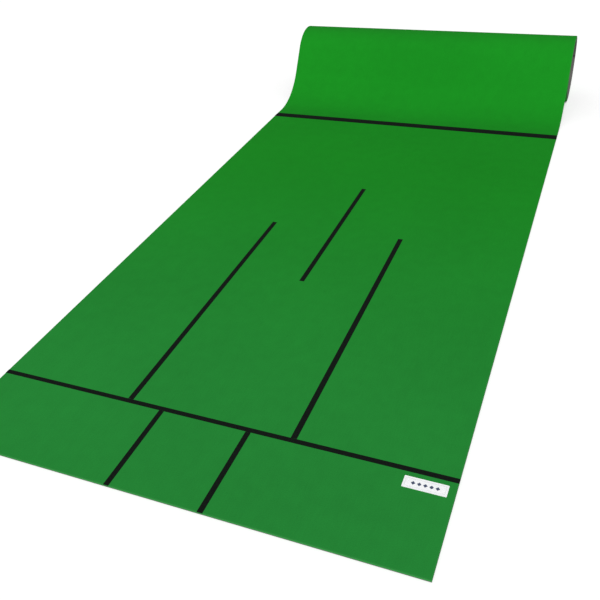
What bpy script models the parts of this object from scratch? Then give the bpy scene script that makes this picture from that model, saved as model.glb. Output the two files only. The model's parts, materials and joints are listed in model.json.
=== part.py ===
"""Practice putting mat, one metre wide, lying flat with its far end rolled up.

A felt turf face is laminated to a thin rubber backing. Black guide lines are inlaid in the
turf and a small white label is sewn on at the near edge. The rolled end is built as narrow
strips, each hinged to the one before it, so that the whole mat can unroll until it is flat.
Metres, +Z up, +Y from the near edge towards the roll, origin on the floor under the middle.
"""

import math

import bpy

# ---- driving dimensions -------------------------------------------------------------------
MAT_WIDTH = 1.0                # along X
MAT_LENGTH = 3.0               # along the sheet, unrolled
SHEET_THICKNESS = 0.005        # turf and backing together
BACKING_THICKNESS = 0.0015
GAP = 0.0003                   # clearance between pieces that touch

FLAT_LENGTH = 1.7685           # near edge to the start of the rise
RISE_RADIUS = 0.205            # underside of the curve that lifts the sheet off the floor
RISE_STRIPS = 4
RAMP_ANGLE = math.radians(56)  # slope of the straight stretch between rise and roll
ROLL_RADIUS = 0.1135           # turf surface where the ramp meets the roll
ROLL_PITCH = 0.0075            # how much the radius shrinks in one turn
STRIP_ANGLE = math.radians(30)  # turning of one strip of the roll

LINE_WIDTH = 0.0112            # near cross line and the two short lines
LANE_LINE_WIDTH = 0.0125
FAR_LINE_WIDTH = 0.032         # the far cross line is a broad one
LINE_DEPTH = 0.0010            # thickness of the inlaid strip
NEAR_LINE_AT = 0.2066          # distances from the near edge
FAR_LINE_AT = 1.7193
LANE_LENGTH = 0.7635           # the two long lines, from the near cross line
LANE_HALF_SPACING = 0.1825
AIM_START = 0.507              # the centre line, from the near cross line
AIM_LENGTH = 0.509
FOOT_HALF_SPACING = 0.097      # the two short lines at the near edge
FOOT_OFFSET = -0.005

LABEL_SIZE = (0.080, 0.026)
LABEL_CENTRE = (0.4457, 0.1776)  # X, and distance from the near edge
LABEL_THICKNESS = 0.0005
THREAD_RADIUS = 0.0004
THREAD_INSET = 0.0025          # from the label's edge to the run of stitching

COLOURS = {
    "turf": (0.022, 0.230, 0.035, 1.0),
    "rubber": (0.095, 0.093, 0.088, 1.0),
    "black_felt": (0.008, 0.010, 0.008, 1.0),
    "label_cloth": (0.80, 0.82, 0.83, 1.0),
    "thread": (0.70, 0.72, 0.72, 1.0),
}

# ---- shape of the lifted sheet, worked out from the dimensions --------------------------------
RAMP_START_ANGLE = math.pi / 2 + RAMP_ANGLE      # where the ramp meets the roll, seen from its centre
FLOOR_ANGLE = -math.pi / 2                       # where the roll rests on the floor


def roll_radius(angle):
    """Radius of the roll's turf surface; angles run from +Y towards +Z and fall along the sheet."""
    return ROLL_RADIUS - ROLL_PITCH * (RAMP_START_ANGLE - angle) / (2 * math.pi)


def unit(angle):
    return math.cos(angle), math.sin(angle)


def shifted(point, direction, distance):
    return point[0] + direction[0] * distance, point[1] + direction[1] * distance


RAMP_ALONG = unit(RAMP_ANGLE)
RAMP_OUT = (-RAMP_ALONG[1], RAMP_ALONG[0])
FIRST_TURN = RAMP_ANGLE / RISE_STRIPS / 2       # at the hinge where the sheet leaves the floor
RISE_HEIGHT = RISE_RADIUS * (1 - math.cos(RAMP_ANGLE))
ROLL_HEIGHT = roll_radius(FLOOR_ANGLE)
RAMP_TOP = ROLL_HEIGHT + ROLL_RADIUS * math.cos(RAMP_ANGLE)
RAMP_LENGTH = (RAMP_TOP - RISE_HEIGHT - SHEET_THICKNESS * math.cos(RAMP_ANGLE)) / math.sin(RAMP_ANGLE)
ROLLED_LENGTH = MAT_LENGTH - FLAT_LENGTH - RISE_RADIUS * RAMP_ANGLE - RAMP_LENGTH
ROLL_TURN = (2 * math.pi / ROLL_PITCH) * (
    ROLL_RADIUS - math.sqrt(ROLL_RADIUS ** 2 - ROLL_PITCH * ROLLED_LENGTH / math.pi)
)
ROLL_CENTRE_FROM_EDGE = (
    FLAT_LENGTH
    + RISE_RADIUS * math.sin(RAMP_ANGLE)
    + RAMP_LENGTH * math.cos(RAMP_ANGLE)
    + (ROLL_RADIUS - SHEET_THICKNESS) * math.sin(RAMP_ANGLE)
)
NEAR_EDGE = -(ROLL_CENTRE_FROM_EDGE + roll_radius(0.0)) / 2
ROLL_CENTRE = (NEAR_EDGE + ROLL_CENTRE_FROM_EDGE, ROLL_HEIGHT)


def rise_hinges():
    """Points (y, z) on the underside of the rise, from the floor to the foot of the ramp."""
    start = NEAR_EDGE + FLAT_LENGTH
    step = RAMP_ANGLE / RISE_STRIPS
    return [
        (start + RISE_RADIUS * math.sin(i * step), RISE_RADIUS * (1 - math.cos(i * step)))
        for i in range(RISE_STRIPS + 1)
    ]


def roll_hinges():
    """Points (y, z) on the turf surface of the roll; one of them is where it meets the floor.

    The points of one turn lie on the same rays as those of the next, so the straight strips nest.
    The last point is the mat's free end, part of the way along its strip.
    """
    last = RAMP_START_ANGLE - ROLL_TURN
    steps_to_floor = math.floor((RAMP_START_ANGLE - FLOOR_ANGLE) / STRIP_ANGLE)
    angle = FLOOR_ANGLE + steps_to_floor * STRIP_ANGLE
    angles = [RAMP_START_ANGLE]
    while angles[-1] > last:
        angles.append(angle)
        angle -= STRIP_ANGLE
    points = [shifted(ROLL_CENTRE, unit(a), roll_radius(a)) for a in angles]
    share = (angles[-2] - last) / STRIP_ANGLE
    (y0, z0), (y1, z1) = points[-2:]
    points[-1] = (y0 + share * (y1 - y0), z0 + share * (z1 - z0))
    return points


# ---- scene and materials -------------------------------------------------------------------
def clear_scene():
    for old in list(bpy.data.objects):
        bpy.data.objects.remove(old)


def new_collection(name):
    collection = bpy.data.collections.new(name)
    bpy.context.scene.collection.children.link(collection)
    return collection


def principled(name, colour, roughness):
    material = bpy.data.materials.new(name)
    material.use_nodes = True
    shader = material.node_tree.nodes["Principled BSDF"]
    shader.inputs["Base Color"].default_value = colour
    shader.inputs["Roughness"].default_value = roughness
    material.diffuse_color = colour
    return material


def move_to(obj, collection):
    for owner in list(obj.users_collection):
        owner.objects.unlink(obj)
    collection.objects.link(obj)


def box(name, low, high, material, collection):
    """A block between two corners, with its origin at its middle."""
    size = [b - a for a, b in zip(low, high)]
    middle = [(a + b) / 2 for a, b in zip(low, high)]
    bpy.ops.mesh.primitive_cube_add(size=1, location=middle)
    block = bpy.context.object
    block.name = name
    block.scale = size
    bpy.ops.object.transform_apply(location=False, rotation=False, scale=True)
    if material:
        block.data.materials.append(material)
    move_to(block, collection)
    return block


# ---- flat stretch --------------------------------------------------------------------------
def line_plan():
    """Each guide line as (name, low corner, high corner) in X and distance from the near edge."""
    half = LINE_WIDTH / 2
    lane_half = LANE_LINE_WIDTH / 2
    far_half = FAR_LINE_WIDTH / 2
    side = MAT_WIDTH / 2
    above = NEAR_LINE_AT + half + GAP
    plan = [
        ("line_near_cross", (-side, NEAR_LINE_AT - half), (side, NEAR_LINE_AT + half)),
        ("line_far_cross", (-side, FAR_LINE_AT - far_half), (side, FAR_LINE_AT + far_half)),
    ]
    for name, x in (("line_lane_left", -LANE_HALF_SPACING), ("line_lane_right", LANE_HALF_SPACING)):
        plan.append((name, (x - lane_half, above), (x + lane_half, NEAR_LINE_AT + LANE_LENGTH)))
    aim = NEAR_LINE_AT + AIM_START
    plan.append(("line_aim_centre", (-lane_half, aim), (lane_half, aim + AIM_LENGTH)))
    below = NEAR_LINE_AT - half - GAP
    for name, x in (("line_foot_left", -FOOT_HALF_SPACING), ("line_foot_right", FOOT_HALF_SPACING)):
        x += FOOT_OFFSET
        plan.append((name, (x - half, 0.0), (x + half, below)))
    return plan


def cut(target, cutter):
    """Takes the cutter's shape out of the target."""
    cutter.hide_render = True
    cutter.display_type = "WIRE"
    boolean = target.modifiers.new("channel_" + cutter.name, "BOOLEAN")
    boolean.operation = "DIFFERENCE"
    boolean.solver = "EXACT"
    boolean.object = cutter


def flat_mat(parts, cutters, materials):
    """Backing, turf with a channel for each line, and the lines that lie in the channels."""
    side = MAT_WIDTH / 2
    near = NEAR_EDGE
    far = NEAR_EDGE + FLAT_LENGTH - GAP / 2 - SHEET_THICKNESS * math.tan(FIRST_TURN / 2)
    turf_base = BACKING_THICKNESS + GAP
    top = SHEET_THICKNESS
    box("backing_flat", (-side, near, 0.0), (side, far, BACKING_THICKNESS),
        materials["rubber"], parts)
    turf = box("turf_flat", (-side, near, turf_base), (side, far, top), materials["turf"], parts)
    floor_of_channel = top - LINE_DEPTH - GAP
    for name, (x0, d0), (x1, d1) in line_plan():
        low = (x0, near + d0, top - LINE_DEPTH)
        high = (x1, near + d1, top)
        box(name, low, high, materials["black_felt"], parts)
        room = (x0 - GAP, near + d0 - GAP, floor_of_channel), (x1 + GAP, near + d1 + GAP, top + GAP)
        cut(turf, box("channel_for_" + name, *room, None, cutters))


def label(parts, materials):
    """A blank woven label lying on the turf, and the run of thread that holds it down."""
    cx, cy = LABEL_CENTRE[0], NEAR_EDGE + LABEL_CENTRE[1]
    hx, hy = LABEL_SIZE[0] / 2, LABEL_SIZE[1] / 2
    base = SHEET_THICKNESS + GAP
    top = base + LABEL_THICKNESS
    box("woven_label", (cx - hx, cy - hy, base), (cx + hx, cy + hy, top),
        materials["label_cloth"], parts)
    curve = bpy.data.curves.new("label_thread", "CURVE")
    curve.dimensions = "3D"
    curve.bevel_depth = THREAD_RADIUS
    curve.bevel_resolution = 1
    run = curve.splines.new("POLY")
    run.points.add(3)
    rx, ry = hx - THREAD_INSET, hy - THREAD_INSET
    corners = ((-rx, -ry), (rx, -ry), (rx, ry), (-rx, ry))
    for point, (x, y) in zip(run.points, corners):
        point.co = (x, y, 0.0, 1.0)
    run.use_cyclic_u = True
    thread = bpy.data.objects.new("label_thread", curve)
    thread.location = (cx, cy, top + GAP + THREAD_RADIUS)
    curve.materials.append(materials["thread"])
    parts.objects.link(thread)


# ---- lifted stretch ------------------------------------------------------------------------
def extruded(name, outline, hinge, material, collection):
    """An outline given in (y, z) from the hinge, as wide as the mat, with its origin on the hinge."""
    curve = bpy.data.curves.new(name, "CURVE")
    curve.dimensions = "2D"
    curve.fill_mode = "BOTH"
    curve.extrude = MAT_WIDTH / 2
    spline = curve.splines.new("POLY")
    spline.points.add(len(outline) - 1)
    for point, (y, z) in zip(spline.points, outline):
        point.co = (y, z, 0.0, 1.0)
    spline.use_cyclic_u = True
    strip = bpy.data.objects.new(name, curve)
    strip.location = (0.0, *hinge)
    strip.rotation_euler = (math.pi / 2, 0.0, math.pi / 2)
    curve.materials.append(material)
    collection.objects.link(strip)
    return strip


def layer_outline(length, direction, half_turns, heights, hinge_heights):
    """One layer of a strip. Its ends are mitred on the planes that halve the turn at each hinge.

    half_turns are half the turning at the first and last hinge, heights the layer's bottom and
    top above the underside, and hinge_heights the heights of the two hinges.
    """
    along = unit(direction)
    out = (-along[1], along[0])
    corners = []
    for height in heights:
        start = GAP / 2 + abs(height - hinge_heights[0]) * math.tan(half_turns[0])
        end = length - GAP / 2 - abs(height - hinge_heights[1]) * math.tan(half_turns[1])
        pair = [
            shifted(shifted((0.0, 0.0), along, s), out, height - hinge_heights[0])
            for s in (start, end)
        ]
        corners.append(pair)
    return [corners[0][0], corners[0][1], corners[1][1], corners[1][0]]


def lifted_strips():
    """Every strip after the flat stretch: its name, hinge, length, direction and mitres."""
    rise = rise_hinges()
    roll = roll_hinges()
    ends = list(zip(rise[:-1], rise[1:]))
    ends.append((rise[-1], shifted(roll[0], RAMP_OUT, -SHEET_THICKNESS)))
    ends += list(zip(roll[:-1], roll[1:]))
    directions = [math.atan2(b[1] - a[1], b[0] - a[0]) for a, b in ends]
    names = [f"rise_{i + 1}" for i in range(RISE_STRIPS)] + ["ramp"]
    names += [f"roll_{i + 1:02d}" for i in range(len(roll) - 1)]
    hinges = [a for a, _ in ends]
    previous = [0.0] + directions[:-1]
    turns = [abs(math.remainder(d - p, 2 * math.pi)) for d, p in zip(directions, previous)] + [0.0]
    under, over = 0.0, SHEET_THICKNESS
    hinge_heights = [under] * (RISE_STRIPS + 1) + [over] * (len(roll) - 1)
    strips = []
    for i, name in enumerate(names):
        length = math.dist(*ends[i])
        half_turns = (turns[i] / 2, turns[i + 1] / 2)
        at_end = hinge_heights[i + 1] if i + 1 < len(names) else over
        strips.append((name, hinges[i], length, directions[i], half_turns, (hinge_heights[i], at_end)))
    return strips


def lifted_mat(parts, materials):
    """Each strip's rubber and turf, hung from the strip before it."""
    layers = (
        ("backing_", "rubber", (0.0, BACKING_THICKNESS)),
        ("turf_", "turf", (BACKING_THICKNESS + GAP, SHEET_THICKNESS)),
    )
    for name, hinge, length, direction, half_turns, hinge_heights in lifted_strips():
        for prefix, material, heights in layers:
            outline = layer_outline(length, direction, half_turns, heights, hinge_heights)
            extruded(prefix + name, outline, hinge, materials[material], parts)


clear_scene()
mat = new_collection("putting_mat")
cutting_tools = new_collection("cutting_tools")
finishes = {name: principled(name, colour, 0.9) for name, colour in COLOURS.items()}
flat_mat(mat, cutting_tools, finishes)
label(mat, finishes)
lifted_mat(mat, finishes)
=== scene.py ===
import json
import math

import bmesh
import bpy
import numpy as np
from mathutils import Matrix, Vector

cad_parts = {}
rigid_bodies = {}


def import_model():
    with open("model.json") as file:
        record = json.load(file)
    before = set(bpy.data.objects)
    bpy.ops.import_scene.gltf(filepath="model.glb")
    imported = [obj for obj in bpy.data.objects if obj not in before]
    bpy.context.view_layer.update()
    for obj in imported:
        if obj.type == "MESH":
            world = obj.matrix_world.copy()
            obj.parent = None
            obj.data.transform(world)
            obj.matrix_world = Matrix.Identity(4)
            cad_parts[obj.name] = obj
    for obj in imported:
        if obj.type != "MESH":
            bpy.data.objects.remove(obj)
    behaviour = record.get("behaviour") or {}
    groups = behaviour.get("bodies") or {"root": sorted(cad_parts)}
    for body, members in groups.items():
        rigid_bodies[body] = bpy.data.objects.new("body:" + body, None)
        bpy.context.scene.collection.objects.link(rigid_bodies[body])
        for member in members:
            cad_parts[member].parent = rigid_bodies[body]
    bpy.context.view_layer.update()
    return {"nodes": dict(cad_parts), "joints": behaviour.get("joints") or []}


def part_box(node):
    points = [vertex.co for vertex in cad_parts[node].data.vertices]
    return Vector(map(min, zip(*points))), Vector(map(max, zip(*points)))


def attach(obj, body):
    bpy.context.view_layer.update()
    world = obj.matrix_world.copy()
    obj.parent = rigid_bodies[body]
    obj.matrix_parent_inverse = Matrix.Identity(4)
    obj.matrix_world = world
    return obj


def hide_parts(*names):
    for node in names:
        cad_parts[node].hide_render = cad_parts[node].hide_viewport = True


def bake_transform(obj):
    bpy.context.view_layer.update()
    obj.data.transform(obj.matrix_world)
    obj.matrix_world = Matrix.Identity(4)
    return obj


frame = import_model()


# ---- Latex backing --------------------------------------------------------------------------
# The underside of the mat: a thin coat of dark grey foamed latex, knifed onto the felt and pressed
# with a fine waffle while it sets. It lies flat, sweeps up, climbs a short ramp and rolls up.
BACKING_MM = 1.5
BACKING_ROUNDING_MM = 0.25
WAFFLE_MM = 3.0
PORE_MM = 0.8
CLOUD_MM = 60.0                         # size of the slow changes of shade
SHEET_MM = 5.0
RISE_RADIUS = 0.205                     # underside of the sweep where the flat stretch lifts
RAMP_ANGLE = math.radians(56.0)
ROLL_RADIUS = 0.1135                    # turf face of the roll where the ramp meets it
ROLL_PITCH = 0.0075                     # how much smaller each turn is: the sheet and some air
ROLL_TURN = math.radians(494.975)       # how far the sheet winds round the roll
ROLL_START = math.pi / 2 + RAMP_ANGLE

hinge_of = {joint["child"]: Vector(joint["pos_m"]) for joint in frame["joints"]}
body_before = {joint["child"]: joint["parent"] for joint in frame["joints"]}
RISE = sorted(name for name in hinge_of if name.startswith("rise_"))
ROLL = sorted(name for name in hinge_of if name.startswith("roll_"))
FLAT, RAMP = body_before[RISE[0]], body_before[ROLL[0]]

flat_low, flat_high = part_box("backing_flat")
NEAR_EDGE, SIDE = flat_low.y, flat_high.x
RISE_START = hinge_of[RISE[0]].y


def heading(angle):
    """The direction at an angle from +Y towards +Z."""
    return Vector((0, math.cos(angle), math.sin(angle)))


ROLL_CENTRE = hinge_of[ROLL[0]] - ROLL_RADIUS * heading(ROLL_START)
arms = [hinge_of[name] - ROLL_CENTRE for name in ROLL]
unwrapped = np.unwrap([math.atan2(arm.z, arm.y) for arm in arms])
ROLL_HINGES = [float(ROLL_START + angle - unwrapped[0]) for angle in unwrapped]


def on_flat(y):
    """A place on the underside, with the direction in which the turf faces there."""
    return Vector((0, y, 0)), Vector((0, 0, 1))


def on_rise(angle):
    """The same on the sweep, by the angle that the sheet has turned up."""
    climb = RISE_RADIUS * (1 - math.cos(angle))
    return Vector((0, RISE_START + RISE_RADIUS * math.sin(angle), climb)), heading(angle + math.pi / 2)


def on_ramp(distance):
    """The same on the straight ramp, by the distance from its foot."""
    foot, facing = on_rise(RAMP_ANGLE)
    return foot + distance * heading(RAMP_ANGLE), facing


def on_roll(angle):
    """The angle about the roll's centre falls along the sheet, through every turn."""
    radius = ROLL_RADIUS - ROLL_PITCH * (ROLL_START - angle) / (2 * math.pi)
    return ROLL_CENTRE + (radius - SHEET_MM / 1000) * heading(angle), heading(angle)


def along(path, first, last, count):
    """Evenly spaced places on a path, with both ends."""
    return [path(first + (last - first) * i / count) for i in range(count + 1)]


# The sheet is cut into stretches, each rigid or bending about one hinge. Each bend keeps a start and an end
# about EASE strips to either side of its hinge.
EASE = 1.44
END_EASE = 0.25                         # reach of a bend onto the straight sheet beside it, in strips
FACETS = 24                             # stations in one bend
stretches = []


def stretch(name, bodies, stations, start=None, end=None):
    """Adds a stretch, with how far along the sheet each of its stations lies."""
    feet = [foot for foot, _ in stations]
    steps = [0.0] + [(b - a).length for a, b in zip(feet, feet[1:])]
    begun = stretches[-1]["travelled"][-1] if stretches else 0.0
    stretches.append({"name": name, "bodies": bodies, "stations": stations, "start": start, "end": end,
                      "travelled": [float(begun + done) for done in np.cumsum(steps)]})


def bend(name, body, stations, angle, before, after):
    """Adds a stretch that bends at a body's hinge, from before it to after it along the heading."""
    hinge = hinge_of[body]
    stretch(name, (body_before[body], body), stations,
            hinge - before * heading(angle), hinge + after * heading(angle))


rise_step = RAMP_ANGLE / len(RISE)
rise_strip = RISE_RADIUS * rise_step
lead = END_EASE * rise_strip
stretch("flat", (FLAT,), along(on_flat, NEAR_EDGE, RISE_START - lead, 1))
bend(RISE[0], RISE[0],
     along(on_flat, RISE_START - lead, RISE_START, 4)[:-1] + along(on_rise, 0.0, rise_step / 2, FACETS // 2),
     0.0, lead, rise_strip + lead)
for i, name in enumerate(RISE[1:], 1):
    bend(name, name, along(on_rise, (i - 0.5) * rise_step, (i + 0.5) * rise_step, FACETS),
         i * rise_step, EASE * rise_strip, EASE * rise_strip)
bend("ramp_foot", RAMP,
     along(on_rise, RAMP_ANGLE - rise_step / 2, RAMP_ANGLE, FACETS // 2)[:-1] + along(on_ramp, 0.0, lead, 4),
     RAMP_ANGLE, rise_strip + lead, lead)
ramp_length = (hinge_of[ROLL[0]] - hinge_of[RAMP]).dot(heading(RAMP_ANGLE))
roll_strips = [(hinge_of[b] - hinge_of[a]).length for a, b in zip(ROLL, ROLL[1:])]
lead_out = END_EASE * roll_strips[0]
stretch("ramp", (RAMP,), along(on_ramp, lead, ramp_length - lead_out, 1))
halfway = [(a + b) / 2 for a, b in zip(ROLL_HINGES, ROLL_HINGES[1:])]
roll_ends = [ROLL_START, *halfway, ROLL_START - ROLL_TURN]
bend(ROLL[0], ROLL[0],
     along(on_ramp, ramp_length - lead_out, ramp_length, 4)[:-1]
     + along(on_roll, roll_ends[0], roll_ends[1], FACETS // 2),
     RAMP_ANGLE, lead_out, roll_strips[0] + lead_out)
for i, name in enumerate(ROLL[1:], 1):
    reach = EASE * (roll_strips[i - 1] + roll_strips[min(i, len(roll_strips) - 1)]) / 2
    bend(name, name, along(on_roll, roll_ends[i], roll_ends[i + 1], FACETS),
         ROLL_HINGES[i] - math.pi / 2, reach, reach)


def add_node(tree, kind, inputs=None, **settings):
    """Adds a node, sets its properties, and fills or links its inputs."""
    node = tree.nodes.new(kind)
    for key, value in settings.items():
        setattr(node, key, value)
    for key, value in (inputs or {}).items():
        socket = node.inputs[key]
        if isinstance(value, bpy.types.NodeSocket):
            tree.links.new(value, socket)
        else:
            socket.default_value = value
    return node


def new_object(name, data):
    """An object in the scene that holds the mesh, lamp or camera."""
    thing = bpy.data.objects.new(name, data)
    bpy.context.scene.collection.objects.link(thing)
    return thing


def new_geometry_tree(name, **inputs):
    """A Geometry Nodes tree with named inputs: returns it and its Group Input node."""
    tree = bpy.data.node_groups.new(name, "GeometryNodeTree")
    for label, kind in inputs.items():
        tree.interface.new_socket(label, in_out="INPUT", socket_type="NodeSocket" + kind)
    tree.interface.new_socket("made", in_out="OUTPUT", socket_type="NodeSocketGeometry")
    return tree, add_node(tree, "NodeGroupInput")


def close_tree(tree, geometry, material):
    """Ends a tree: instances become real and the mesh gets its material."""
    real = add_node(tree, "GeometryNodeRealizeInstances", {0: geometry})
    painted = add_node(tree, "GeometryNodeSetMaterial", {"Geometry": real.outputs[0], "Material": material})
    add_node(tree, "NodeGroupOutput", {0: painted.outputs[0]})


def made_piece(name, source, tree, **values):
    """A plain mesh object of what the tree makes from the source mesh or curve."""
    start = new_object(name + "_source", source)
    modifier = start.modifiers.new("made", "NODES")
    modifier.node_group = tree
    for socket in tree.interface.items_tree:
        if socket.in_out == "INPUT" and socket.name in values:
            modifier[socket.identifier] = values[socket.name]
    depsgraph = bpy.context.evaluated_depsgraph_get()
    mesh = bpy.data.meshes.new_from_object(
        start.evaluated_get(depsgraph), preserve_all_data_layers=True, depsgraph=depsgraph)
    start.modifiers.remove(modifier)
    bpy.data.objects.remove(start)
    mesh.name = name
    return new_object(name, mesh)


# The tree sweeps a rectangle with rounded edges along the stations. Each point is then set exactly:
# its station, across by the width, and out along the direction in which the turf faces there.
layer_tree, given = new_geometry_tree(
    "sheet_layer", stations="Geometry", width="Float", bottom="Float", top="Float", rounding="Float",
    material="Material")
depth = add_node(layer_tree, "ShaderNodeMath", {0: given.outputs["top"], 1: given.outputs["bottom"]},
                 operation="SUBTRACT")
half_depth = add_node(layer_tree, "ShaderNodeMath", {0: depth.outputs[0], 1: 0.5}, operation="MULTIPLY")
middle = add_node(layer_tree, "ShaderNodeMath", {0: given.outputs["bottom"], 1: half_depth.outputs[0]},
                  operation="ADD")
section = add_node(layer_tree, "GeometryNodeCurvePrimitiveQuadrilateral",
                   {"Width": given.outputs["width"], "Height": depth.outputs[0]}, mode="RECTANGLE")
section = add_node(layer_tree, "GeometryNodeFilletCurve",
                   {"Curve": section.outputs[0], "Radius": given.outputs["rounding"], "Count": 3},
                   mode="POLY")
offset = add_node(layer_tree, "ShaderNodeCombineXYZ", {"Y": middle.outputs[0]})
section = add_node(layer_tree, "GeometryNodeTransform",
                   {"Geometry": section.outputs[0], "Translation": offset.outputs[0]})
place = add_node(layer_tree, "GeometryNodeInputPosition")
across = add_node(layer_tree, "GeometryNodeCaptureAttribute")
across.capture_items.new("VECTOR", "across")
layer_tree.links.new(section.outputs[0], across.inputs[0])
layer_tree.links.new(place.outputs[0], across.inputs[1])
rail = add_node(layer_tree, "GeometryNodeMeshToCurve", {"Mesh": given.outputs["stations"]})
foot = add_node(layer_tree, "GeometryNodeCaptureAttribute")
foot.capture_items.new("VECTOR", "foot")
layer_tree.links.new(rail.outputs[0], foot.inputs[0])
layer_tree.links.new(place.outputs[0], foot.inputs[1])
swept = add_node(layer_tree, "GeometryNodeCurveToMesh",
                 {"Curve": foot.outputs[0], "Profile Curve": across.outputs[0], "Fill Caps": True})
parts = add_node(layer_tree, "ShaderNodeSeparateXYZ", {0: across.outputs[1]})
sideways = add_node(layer_tree, "ShaderNodeCombineXYZ", {"X": parts.outputs["X"]})
facing = add_node(layer_tree, "GeometryNodeInputNamedAttribute", {"Name": "facing"},
                  data_type="FLOAT_VECTOR")
outward = add_node(layer_tree, "ShaderNodeVectorMath", {0: facing.outputs[0], "Scale": parts.outputs["Y"]},
                   operation="SCALE")
at_station = add_node(layer_tree, "ShaderNodeVectorMath", {0: foot.outputs[1], 1: sideways.outputs[0]},
                      operation="ADD")
exact = add_node(layer_tree, "ShaderNodeVectorMath", {0: at_station.outputs[0], 1: outward.outputs[0]},
                 operation="ADD")
layer = add_node(layer_tree, "GeometryNodeSetPosition",
                 {"Geometry": swept.outputs[0], "Position": exact.outputs[0]})
layer = add_node(layer_tree, "GeometryNodeFlipFaces", {"Mesh": layer.outputs[0]})
travelled = add_node(layer_tree, "GeometryNodeInputNamedAttribute", {"Name": "travelled"},
                     data_type="FLOAT")
on_sheet = add_node(layer_tree, "ShaderNodeCombineXYZ", {"X": parts.outputs["X"], "Y": travelled.outputs[0]})
layer = add_node(layer_tree, "GeometryNodeStoreNamedAttribute",
                 {"Geometry": layer.outputs[0], "Name": "sheet_metres", "Value": on_sheet.outputs[0]},
                 data_type="FLOAT2", domain="CORNER")
for name in ("facing", "travelled"):
    layer = add_node(layer_tree, "GeometryNodeRemoveAttribute", {"Geometry": layer.outputs[0], "Name": name})
close_tree(layer_tree, layer.outputs[0], given.outputs["material"])


def smooth_with_creases(mesh, degrees):
    """Smooth shading, with a crease where faces meet at more than so many degrees."""
    mesh.polygons.foreach_set("use_smooth", [True] * len(mesh.polygons))
    mesh.set_sharp_from_angle(angle=math.radians(degrees))


def sheet_layer(name, part, bottom_mm, top_mm, rounding_mm, material):
    """One layer of the sheet over one stretch, with its places on the sheet as a UV map in metres."""
    rail = bpy.data.meshes.new(name + "_stations")
    feet = [tuple(foot) for foot, _ in part["stations"]]
    rail.from_pydata(feet, [(i, i + 1) for i in range(len(feet) - 1)], [])
    facing = rail.attributes.new("facing", "FLOAT_VECTOR", "POINT")
    facing.data.foreach_set("vector", [c for _, normal in part["stations"] for c in normal])
    rail.attributes.new("travelled", "FLOAT", "POINT").data.foreach_set("value", part["travelled"])
    piece = made_piece(name, rail, layer_tree, width=2 * SIDE, bottom=bottom_mm / 1000, top=top_mm / 1000,
                       rounding=rounding_mm / 1000, material=material)
    smooth_with_creases(piece.data, 8)
    return piece


def lay_on_body(piece, part, node):
    """Fixes a piece of the sheet to its body; a piece whose stretch joins two bodies is left on none, its
    place baked into its mesh.
    """
    if part["start"] is None:
        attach(piece, part["bodies"][0])
    else:
        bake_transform(piece)
    if node in frame["nodes"]:
        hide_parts(node)


def hex_colour(code):
    """An sRGB hex colour turned linear."""
    channels = [int(code[i:i + 2], 16) / 255 for i in (0, 2, 4)]
    return [c / 12.92 if c <= 0.04045 else ((c + 0.055) / 1.055) ** 2.4 for c in channels] + [1.0]


def new_material(name):
    """A material with a bare Principled shader: returns it, its tree and the shader."""
    material = bpy.data.materials.new(name)
    material.use_nodes = True
    tree = material.node_tree
    tree.nodes.clear()
    shader = add_node(tree, "ShaderNodeBsdfPrincipled")
    add_node(tree, "ShaderNodeOutputMaterial", {"Surface": shader.outputs["BSDF"]})
    return material, tree, shader


def sheet_millimetres(tree):
    """Places on the sheet in millimetres: X across the mat, Y along it from the near edge."""
    uv = add_node(tree, "ShaderNodeUVMap", uv_map="sheet_metres")
    return add_node(tree, "ShaderNodeVectorMath", {0: uv.outputs["UV"], "Scale": 1000.0},
                    operation="SCALE").outputs[0]


def noise(tree, places, size_mm, detail=2.0, stretch_to=(1.0, 1.0, 1.0)):
    """Even noise whose grains are about size_mm across, drawn out by stretch_to."""
    scale = [1 / (size_mm * s) for s in stretch_to]
    sized = add_node(tree, "ShaderNodeMapping", {"Vector": places, "Scale": scale})
    return add_node(tree, "ShaderNodeTexNoise", {"Vector": sized.outputs[0], "Scale": 1.0, "Detail": detail}
                    ).outputs["Fac"]


# Foamed latex is dull and slightly rough, with pin-holes; the waffle reads as a fine even grid.
latex, tree, shader = new_material("dark_grey_foamed_latex")
places = sheet_millimetres(tree)
waffle = add_node(tree, "ShaderNodeTexVoronoi",
                  {"Vector": places, "Scale": 1 / WAFFLE_MM, "Randomness": 0.0},
                  voronoi_dimensions="2D", distance="CHEBYCHEV")
pores = noise(tree, places, PORE_MM, 3.0)
tone = add_node(tree, "ShaderNodeValToRGB", {"Fac": noise(tree, places, CLOUD_MM, 3.0)})
tone.color_ramp.elements[0].position = 0.35
tone.color_ramp.elements[0].color = hex_colour("504f4c")
tone.color_ramp.elements[1].position = 0.65
tone.color_ramp.elements[1].color = hex_colour("5e5d5a")
tree.links.new(tone.outputs["Color"], shader.inputs["Base Color"])
shader.inputs["Roughness"].default_value = 0.85
shader.inputs["Specular IOR Level"].default_value = 0.15
relief = add_node(tree, "ShaderNodeMath", {0: waffle.outputs["Distance"], 1: 2.0, 2: pores},
                  operation="MULTIPLY_ADD")
bump = add_node(tree, "ShaderNodeBump", {"Height": relief.outputs[0], "Distance": 0.0004, "Strength": 0.8})
tree.links.new(bump.outputs["Normal"], shader.inputs["Normal"])

for part in stretches:
    piece = sheet_layer("latex_" + part["name"], part, 0.0, BACKING_MM, BACKING_ROUNDING_MM, latex)
    lay_on_body(piece, part, "backing_" + part["name"])


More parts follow.
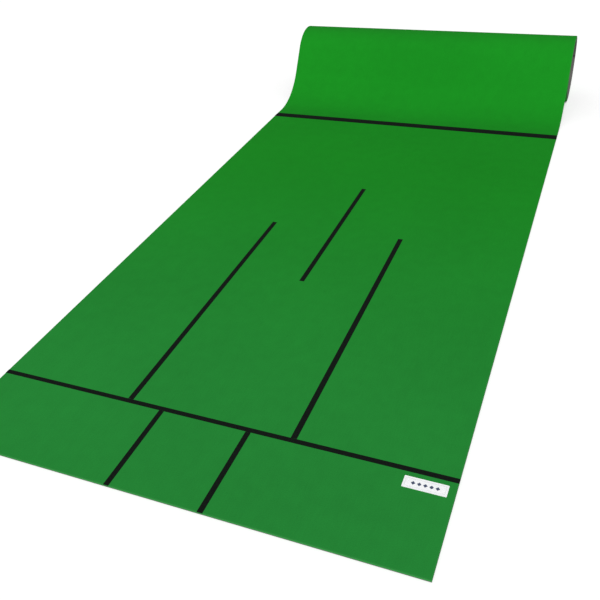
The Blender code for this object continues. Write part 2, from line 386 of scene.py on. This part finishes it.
# ---- Felt turf ------------------------------------------------------------------------------
# The playing surface: needle-punched green polypropylene felt, 3.5 mm thick, its face brushed one
# way and singed short. The sheet is slit to 1 m and cut square, so its edges show a soft cut.
TURF_ROUNDING_MM = 0.9
TUFT_MM = 1.8
BRUSHED_MM = 3.0                        # width of a brushed streak, which is 14 times as long
MOTTLE_MM = 34.0
DRIFT_MM = 380.0
PAINTED_SHEEN_TO_MM = 1500.0                    # where the painted bluish sheen of the near edge has died away
FRAYED_MM = 3.0
FRAYED_SHARE = 0.1                      # how much of the paler green shows right at the cut

# Felt has no gloss: its tangled fibres give a soft, grainy green with faint streaks and patches.
# Single fibres are 0.05 mm, too fine to show, so the tufts that they gather into are drawn.
felt, tree, shader = new_material("needle_punched_green_felt")
places = sheet_millimetres(tree)
tufts = noise(tree, places, TUFT_MM, 4.0)
brushed = noise(tree, places, BRUSHED_MM, 2.0, (1.0, 14.0, 1.0))
mottle = noise(tree, places, MOTTLE_MM, 3.0)
drift = noise(tree, places, DRIFT_MM, 1.0)
tone = tufts
for pattern, share in ((brushed, 0.35), (mottle, 0.5), (drift, 0.6)):
    tone = add_node(tree, "ShaderNodeMath", {0: pattern, 1: share, 2: tone},
                    operation="MULTIPLY_ADD").outputs[0]
tone = add_node(tree, "ShaderNodeMapRange", {"Value": tone, "From Min": 0.75, "From Max": 1.7,
                                             "To Min": 0.86, "To Max": 1.14})
# Painted sheen: a slightly bluer green, standing for a reflection of light, is painted in at the near edge
# and dies away slowly along the sheet to a purer one.
uv = add_node(tree, "ShaderNodeSeparateXYZ", {0: places})
painted_sheen = add_node(tree, "ShaderNodeMapRange",
                 {"Value": uv.outputs["Y"], "From Min": PAINTED_SHEEN_TO_MM, "From Max": 0.0},
                 interpolation_type="SMOOTHSTEP")
green = add_node(tree, "ShaderNodeMix",
                 {0: painted_sheen.outputs[0], 6: hex_colour("107717"), 7: hex_colour("1e772e")}, data_type="RGBA")
green = add_node(tree, "ShaderNodeVectorMath", {0: green.outputs[2], "Scale": tone.outputs[0]},
                 operation="SCALE")
# Frayed fibre ends make the last few millimetres beside a cut edge a little paler.
off_centre = add_node(tree, "ShaderNodeMath", {0: uv.outputs["X"]}, operation="ABSOLUTE")
from_side = add_node(tree, "ShaderNodeMapRange",
                     {"Value": off_centre.outputs[0], "From Min": 1000 * SIDE - FRAYED_MM,
                      "From Max": 1000 * SIDE})
from_end = add_node(tree, "ShaderNodeMapRange",
                    {"Value": uv.outputs["Y"], "From Min": FRAYED_MM, "From Max": 0.0})
frayed = add_node(tree, "ShaderNodeMath", {0: from_side.outputs[0], 1: from_end.outputs[0]},
                  operation="MAXIMUM")
frayed = add_node(tree, "ShaderNodeMath", {0: frayed.outputs[0], 1: FRAYED_SHARE}, operation="MULTIPLY")
green = add_node(tree, "ShaderNodeMix", {0: frayed.outputs[0], 6: green.outputs[0],
                                         7: hex_colour("5d8c64")}, data_type="RGBA")
tree.links.new(green.outputs[2], shader.inputs["Base Color"])
shader.inputs["Roughness"].default_value = 0.95
shader.inputs["Specular IOR Level"].default_value = 0.08
shader.inputs["Sheen Weight"].default_value = 0.03
shader.inputs["Sheen Roughness"].default_value = 0.6
shader.inputs["Sheen Tint"].default_value = hex_colour("4fb45f")
nap = add_node(tree, "ShaderNodeMath", {0: brushed, 1: 0.5, 2: tufts}, operation="MULTIPLY_ADD")
bump = add_node(tree, "ShaderNodeBump", {"Height": nap.outputs[0], "Distance": 0.0006, "Strength": 0.6})
tree.links.new(bump.outputs["Normal"], shader.inputs["Normal"])

turf = {}
for part in stretches:
    turf[part["name"]] = sheet_layer("felt_" + part["name"], part, BACKING_MM, SHEET_MM,
                                     TURF_ROUNDING_MM, felt)


# ---- Aiming lines ---------------------------------------------------------------------------
# Narrow strips of black felt, laid into channels cut in the turf and stuck down flush: two lines
# right across, two lane lines, a short centre line, and two marks for the feet at the near edge.
LINE_CROWN_MM = 0.15
LINE_TUFT_MM = 1.4
CHANNEL_GAP_MM = 0.1
CUTTER_ABOVE = 0.004                    # how far the cutter of a channel stands out of the pile
LINE_NAMES = ["near_cross", "far_cross", "lane_left", "lane_right", "aim_centre", "foot_left", "foot_right"]


def object_millimetres(tree, centre=(0.0, 0.0, 0.0)):
    """Places on a piece in millimetres, measured from a point in metres."""
    place = add_node(tree, "ShaderNodeTexCoord")
    centred = add_node(tree, "ShaderNodeVectorMath", {0: place.outputs["Object"], 1: centre},
                       operation="SUBTRACT")
    return add_node(tree, "ShaderNodeVectorMath", {0: centred.outputs[0], "Scale": 1000.0},
                    operation="SCALE").outputs[0]


# Black felt takes in nearly all the light, so it reads as an even soft black with a faint grain.
black_felt, tree, shader = new_material("black_felt_strip")
tufts = noise(tree, object_millimetres(tree), LINE_TUFT_MM, 4.0)
dark = add_node(tree, "ShaderNodeValToRGB", {"Fac": tufts})
dark.color_ramp.elements[0].position = 0.3
dark.color_ramp.elements[0].color = hex_colour("070b08")
dark.color_ramp.elements[1].position = 0.7
dark.color_ramp.elements[1].color = hex_colour("141a16")
tree.links.new(dark.outputs["Color"], shader.inputs["Base Color"])
shader.inputs["Roughness"].default_value = 0.95
shader.inputs["Specular IOR Level"].default_value = 0.06
bump = add_node(tree, "ShaderNodeBump", {"Height": tufts, "Distance": 0.0005, "Strength": 0.6})
tree.links.new(bump.outputs["Normal"], shader.inputs["Normal"])


def felt_strip(name, low, high, crown):
    """A flat strip with a slightly crowned face, along its longer side."""
    size = high - low
    lengthwise = 0 if size.x > size.y else 1
    half = size[1 - lengthwise] / 2
    centre = (low + high) / 2
    section = [(-half, low.z)] + [
        (half * t, high.z + crown * (1 - t * t)) for t in np.linspace(-1, 1, 9)] + [(half, low.z)]
    ends = []
    mesh = bpy.data.meshes.new(name)
    work = bmesh.new()
    for end in (low[lengthwise], high[lengthwise]):
        ring = []
        for offset, height in section:
            point = [0.0, 0.0, height]
            point[lengthwise] = end
            point[1 - lengthwise] = centre[1 - lengthwise] + offset
            ring.append(work.verts.new(point))
        ends.append(ring)
        work.faces.new(ring)
    for i in range(len(section)):
        j = (i + 1) % len(section)
        work.faces.new((ends[0][i], ends[0][j], ends[1][j], ends[1][i]))
    bmesh.ops.recalc_face_normals(work, faces=work.faces)
    work.to_mesh(mesh)
    work.free()
    smooth_with_creases(mesh, 30)
    return new_object(name, mesh)


channels = bmesh.new()
gap = Vector((CHANNEL_GAP_MM / 1000,) * 3)
for line in LINE_NAMES:
    low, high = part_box("line_" + line)
    piece = felt_strip("felt_line_" + line, low, high, LINE_CROWN_MM / 1000)
    piece.data.materials.append(black_felt)
    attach(piece, FLAT)
    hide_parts("line_" + line)
    size = high - low + 2 * gap + Vector((0, 0, CUTTER_ABOVE))
    centre = (low + high) / 2 + Vector((0, 0, CUTTER_ABOVE / 2))
    bmesh.ops.create_cube(channels, size=1.0,
                          matrix=Matrix.Translation(centre) @ Matrix.Diagonal((*size, 1.0)))
channel_mesh = bpy.data.meshes.new("line_channels")
channels.to_mesh(channel_mesh)
channels.free()
cutter = new_object("line_channels", channel_mesh)
cut = turf["flat"].modifiers.new("channels", "BOOLEAN")
cut.operation, cut.object, cut.solver, cut.use_self = "DIFFERENCE", cutter, "EXACT", True
depsgraph = bpy.context.evaluated_depsgraph_get()
channelled = bpy.data.meshes.new_from_object(turf["flat"].evaluated_get(depsgraph),
                                             preserve_all_data_layers=True, depsgraph=depsgraph)
turf["flat"].modifiers.remove(cut)
turf["flat"].data = channelled
bpy.data.objects.remove(cutter)
smooth_with_creases(turf["flat"].data, 8)

for part in stretches:
    lay_on_body(turf[part["name"]], part, "turf_" + part["name"])


# ---- Sewn label -----------------------------------------------------------------------------
# A small woven polyester label: white satin with a slate border and a row of plain lozenges woven
# in. Its ends are heat-cut, and it is drawn down into the pile along the run of its stitching.
LABEL_MM = 0.5
LABEL_CORNER_MM = 1.0
CELL_MM = 0.8                           # size of one square of the label's mesh
STITCH_INSET_MM = 2.0
DRAWN_DOWN_MM, DRAWN_REACH_MM = 0.18, 1.2       # by how much, and how far to each side of the stitching
BILLOW_MM = 0.12
BILLOW_WAVES = (210.0, 330.0)           # radians per metre, along and across the label
THREAD_MM = 0.4                         # real threads are 0.15 mm apart, drawn coarser to show
WEAVE_SHARE = 0.15                      # how much of the weave's shading shows
CLOTH_CLOUD_MM = 9.0
label_low, label_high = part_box("woven_label")
label_centre, label_size = (label_low + label_high) / 2, label_high - label_low
half_wide, half_tall = label_size.x / 2, label_size.y / 2

# Satin's long floats give a smooth, cool white with a mild gloss and a faint brickwork of threads.
satin, tree, shader = new_material("white_woven_satin")
places = object_millimetres(tree, label_centre)
weave = add_node(tree, "ShaderNodeTexBrick",
                 {"Vector": places, "Scale": 1.0, "Mortar Size": 0.12, "Brick Width": 4 * THREAD_MM,
                  "Row Height": THREAD_MM, "Color1": hex_colour("ffffff"), "Color2": hex_colour("d8d8d8"),
                  "Mortar": hex_colour("808080")}, offset=0.25, offset_frequency=1)
white = add_node(tree, "ShaderNodeMix", {0: noise(tree, places, CLOTH_CLOUD_MM), 6: hex_colour("f2f4f6"),
                                         7: hex_colour("fafbfc")}, data_type="RGBA")
across = add_node(tree, "ShaderNodeSeparateXYZ", {0: places})


def inside(tree, value, limit):
    """1 where the value's size is under the limit, in millimetres, and 0 elsewhere."""
    size = add_node(tree, "ShaderNodeMath", {0: value}, operation="ABSOLUTE")
    return add_node(tree, "ShaderNodeMath", {0: size.outputs[0], 1: limit}, operation="LESS_THAN").outputs[0]


# The woven ornament: a row of five lozenges, and a thin border just inside the stitching.
LOZENGES, LOZENGE_PITCH_MM, LOZENGE_HALF_MM = 5, 11.0, 4.2
BORDER_MM = (3.6, 4.3)                  # from the label's edge, outer and inner side of the border
BORDER_SHARE = 0.3                      # the border is woven paler than the lozenges
in_pitch = add_node(tree, "ShaderNodeMath", {0: across.outputs["X"], 1: LOZENGE_PITCH_MM / 2,
                                             2: -LOZENGE_PITCH_MM / 2}, operation="WRAP")
reach_x = add_node(tree, "ShaderNodeMath", {0: in_pitch.outputs[0]}, operation="ABSOLUTE")
reach_y = add_node(tree, "ShaderNodeMath", {0: across.outputs["Y"]}, operation="ABSOLUTE")
reach = add_node(tree, "ShaderNodeMath", {0: reach_x.outputs[0], 1: reach_y.outputs[0]}, operation="ADD")
in_lozenge = inside(tree, reach.outputs[0], LOZENGE_HALF_MM)
in_row = inside(tree, across.outputs["X"], LOZENGES / 2 * LOZENGE_PITCH_MM)
lozenges = add_node(tree, "ShaderNodeMath", {0: in_lozenge, 1: in_row}, operation="MULTIPLY")
rectangles = []
for edge in BORDER_MM:
    in_width = inside(tree, across.outputs["X"], 1000 * half_wide - edge)
    in_height = inside(tree, across.outputs["Y"], 1000 * half_tall - edge)
    rectangles.append(add_node(tree, "ShaderNodeMath", {0: in_width, 1: in_height}, operation="MULTIPLY"))
border = add_node(tree, "ShaderNodeMath", {0: rectangles[0].outputs[0], 1: rectangles[1].outputs[0]},
                  operation="SUBTRACT")
border = add_node(tree, "ShaderNodeMath", {0: border.outputs[0], 1: BORDER_SHARE}, operation="MULTIPLY")
woven_in = add_node(tree, "ShaderNodeMath", {0: lozenges.outputs[0], 1: border.outputs[0]},
                    operation="MAXIMUM")
white = add_node(tree, "ShaderNodeMix",
                 {0: woven_in.outputs[0], 6: white.outputs[2], 7: hex_colour("3f4a66")}, data_type="RGBA")
threads = add_node(tree, "ShaderNodeMix",
                   {0: WEAVE_SHARE, 6: white.outputs[2], 7: weave.outputs["Color"]},
                   data_type="RGBA", blend_type="MULTIPLY")
tree.links.new(threads.outputs[2], shader.inputs["Base Color"])
shader.inputs["Roughness"].default_value = 0.5
shader.inputs["Sheen Weight"].default_value = 0.1
bump = add_node(tree, "ShaderNodeBump",
                {"Height": weave.outputs["Fac"], "Distance": 0.00012, "Strength": 0.6}, invert=True)
tree.links.new(bump.outputs["Normal"], shader.inputs["Normal"])


def from_border(x, y, inset):
    """How far a point of the label lies from the rectangle of stitching, inside or outside it."""
    return abs(min(half_wide - inset - abs(x), half_tall - inset - abs(y)))


def sort_by_place(elements, place):
    """Numbers a mesh's vertices, edges or faces by where they are."""
    rank = {element: number for number, element in enumerate(sorted(elements, key=place))}
    elements.sort(key=rank.get)


work = bmesh.new()
bmesh.ops.create_grid(work, x_segments=round(1000 * label_size.x / CELL_MM),
                      y_segments=round(1000 * label_size.y / CELL_MM), size=0.5)
corner = LABEL_CORNER_MM / 1000
for vertex in work.verts:
    x, y = vertex.co.x * label_size.x, vertex.co.y * label_size.y
    over = Vector((max(0.0, abs(x) - half_wide + corner), max(0.0, abs(y) - half_tall + corner)))
    if over.x > 0 and over.y > 0 and over.length > corner:
        shrink = over * (1 - corner / over.length)
        x -= math.copysign(shrink.x, x)
        y -= math.copysign(shrink.y, y)
    to_stitching = from_border(x, y, STITCH_INSET_MM / 1000)
    sunk = DRAWN_DOWN_MM / 1000 * math.exp(-(1000 * to_stitching / DRAWN_REACH_MM) ** 2)
    billow = BILLOW_MM / 1000 * math.sin(x * BILLOW_WAVES[0]) * math.sin(y * BILLOW_WAVES[1])
    height = SHEET_MM / 1000 + LABEL_MM / 1000 - sunk + max(0.0, billow)
    vertex.co = Vector((label_centre.x + x, label_centre.y + y, height))
bmesh.ops.solidify(work, geom=list(work.faces), thickness=LABEL_MM / 1000)
bmesh.ops.recalc_face_normals(work, faces=work.faces)
# Solidify makes the rim in an order that changes from run to run, so the mesh is put in a fixed one.
sort_by_place(work.verts, lambda vertex: vertex.co[:])
sort_by_place(work.edges, lambda edge: (edge.verts[0].co + edge.verts[1].co)[:])
sort_by_place(work.faces, lambda face: face.calc_center_median()[:])
mesh = bpy.data.meshes.new("satin_label")
work.to_mesh(mesh)
work.free()
mesh.materials.append(satin)
smooth_with_creases(mesh, 40)
label = new_object("satin_label", mesh)
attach(label, FLAT)
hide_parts("woven_label")


# ---- Stitching ------------------------------------------------------------------------------
# White polyester sewing thread, two-ply, 0.4 mm thick: a lock-stitch run right round the label,
# 3 mm to the stitch. Each stitch bows over the label and dips into it at both ends.
STITCH_MM = 3.0
STITCH_GAP_MM = 0.9                     # bare label between one stitch and the next
STITCH_BOW_MM = 0.22
THREAD_RADIUS_MM = 0.2
PLY_MM = 0.6

# Spun polyester is a matt off-white, and its two twisted plies show as fine slanting bands.
thread, tree, shader = new_material("white_sewing_thread")
ply = add_node(tree, "ShaderNodeTexWave",
               {"Vector": object_millimetres(tree), "Scale": 2 * math.pi / 20 / PLY_MM},
               bands_direction="DIAGONAL")
twist = add_node(tree, "ShaderNodeMix", {0: ply.outputs["Fac"], 6: hex_colour("c4c8cc"),
                                         7: hex_colour("e2e4e6")}, data_type="RGBA")
tree.links.new(twist.outputs[2], shader.inputs["Base Color"])
shader.inputs["Roughness"].default_value = 0.6
bump = add_node(tree, "ShaderNodeBump", {"Height": ply.outputs["Fac"], "Distance": 0.0001, "Strength": 0.5})
tree.links.new(bump.outputs["Normal"], shader.inputs["Normal"])

stitch_tree, given = new_geometry_tree(
    "lock_stitches", run="Geometry", stitch="Float", gap="Float", radius="Float", bow="Float",
    material="Material")
run = add_node(stitch_tree, "GeometryNodeMeshToCurve", {"Mesh": given.outputs["run"]})
spots = add_node(stitch_tree, "GeometryNodeCurveToPoints",
                 {"Curve": run.outputs[0], "Length": given.outputs["stitch"]}, mode="LENGTH")
seen = add_node(stitch_tree, "ShaderNodeMath", {0: given.outputs["stitch"], 1: given.outputs["gap"]},
                operation="SUBTRACT")
reach, back, dip, rise = [
    add_node(stitch_tree, "ShaderNodeMath", {0: length, 1: times}, operation="MULTIPLY").outputs[0]
    for length, times in ((seen.outputs[0], 0.5), (seen.outputs[0], -0.5),
                          (given.outputs["bow"], -1.0), (given.outputs["bow"], 2.0))]
start = add_node(stitch_tree, "ShaderNodeCombineXYZ", {"X": dip, "Z": back})
top = add_node(stitch_tree, "ShaderNodeCombineXYZ", {"X": rise})
end = add_node(stitch_tree, "ShaderNodeCombineXYZ", {"X": dip, "Z": reach})
bow = add_node(stitch_tree, "GeometryNodeCurveQuadraticBezier",
               {"Resolution": 5, "Start": start.outputs[0], "Middle": top.outputs[0], "End": end.outputs[0]})
strand = add_node(stitch_tree, "GeometryNodeCurvePrimitiveCircle",
                  {"Resolution": 6, "Radius": given.outputs["radius"]}, mode="RADIUS")
stitch = add_node(stitch_tree, "GeometryNodeCurveToMesh",
                  {"Curve": bow.outputs[0], "Profile Curve": strand.outputs[0], "Fill Caps": True})
upward = add_node(stitch_tree, "FunctionNodeAlignRotationToVector",
                  {"Rotation": spots.outputs["Rotation"], "Vector": (0.0, 0.0, 1.0)},
                  axis="X", pivot_axis="Z")
sewn = add_node(stitch_tree, "GeometryNodeInstanceOnPoints",
                {"Points": spots.outputs["Points"], "Instance": stitch.outputs[0],
                 "Rotation": upward.outputs[0]})
close_tree(stitch_tree, sewn.outputs[0], given.outputs["material"])

inset = STITCH_INSET_MM / 1000
run_height = (SHEET_MM + LABEL_MM) / 1000
corners = [(label_centre.x + sx * (half_wide - inset), label_centre.y + sy * (half_tall - inset),
            run_height) for sx, sy in ((-1, -1), (1, -1), (1, 1), (-1, 1))]
run = bpy.data.meshes.new("stitch_run")
run.from_pydata(corners, [(0, 1), (1, 2), (2, 3), (3, 0)], [])
stitches = made_piece("label_stitches", run, stitch_tree, stitch=STITCH_MM / 1000,
                      gap=STITCH_GAP_MM / 1000, radius=THREAD_RADIUS_MM / 1000,
                      bow=STITCH_BOW_MM / 1000, material=thread)
stitches.data.polygons.foreach_set("use_smooth", [True] * len(stitches.data.polygons))
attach(stitches, FLAT)
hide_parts("label_thread")


# ---- Camera, floor and light -----------------------------------------------------------------
# A plain white studio floor, one broad and distant softbox in front, and a pale surround.
EYE = Vector((0.6296, -1.7747, 1.0334))
TURNED_LEFT, LOOKS_DOWN, LEANS = 24.633, 35.396, -5.022         # degrees, from level along +Y
SENSOR_MM, LENS_MM = 36.0, 44.4
FLOOR_SIZE, FLOOR_GAP = 30.0, 0.0003
FLOOR_COLOUR = "f4f4f4"
LIGHT_FALLS = Vector((-0.21, 1.0, -0.98))       # from the front, a little from the right
LIGHT_STRENGTH, LIGHT_SPREAD = 1.08 * math.pi, math.radians(20)
SURROUND_STRENGTH = 0.42

camera_data = bpy.data.cameras.new("camera")
camera_data.sensor_width = SENSOR_MM
camera_data.lens = LENS_MM
camera = new_object("camera", camera_data)
turned = (Matrix.Rotation(math.radians(TURNED_LEFT), 4, "Z")
          @ Matrix.Rotation(math.radians(90 - LOOKS_DOWN), 4, "X"))
camera.matrix_world = Matrix.Translation(EYE) @ turned @ Matrix.Rotation(math.radians(LEANS), 4, "Z")
bpy.context.scene.camera = camera

# Studio paper is matt and all one white, so nothing shows on it but the mat's soft shadow.
paper, tree, shader = new_material("white_studio_paper")
shader.inputs["Base Color"].default_value = hex_colour(FLOOR_COLOUR)
shader.inputs["Roughness"].default_value = 0.9
shader.inputs["Specular IOR Level"].default_value = 0.1
bpy.ops.mesh.primitive_plane_add(size=FLOOR_SIZE, location=(0, 0, -FLOOR_GAP))
floor = bpy.context.object
floor.name = "studio_floor"
floor.data.materials.append(paper)

world = bpy.data.worlds.new("pale_surround")
bpy.context.scene.world = world
world.use_nodes = True
world.node_tree.nodes["Background"].inputs["Color"].default_value = hex_colour("ffffff")
world.node_tree.nodes["Background"].inputs["Strength"].default_value = SURROUND_STRENGTH
bpy.context.scene.view_settings.view_transform = "Standard"

softbox = bpy.data.lights.new("broad_front_softbox", "SUN")
softbox.energy = LIGHT_STRENGTH
softbox.angle = LIGHT_SPREAD
lamp = new_object("broad_front_softbox", softbox)
lamp.rotation_euler = LIGHT_FALLS.to_track_quat("-Z", "Y").to_euler()
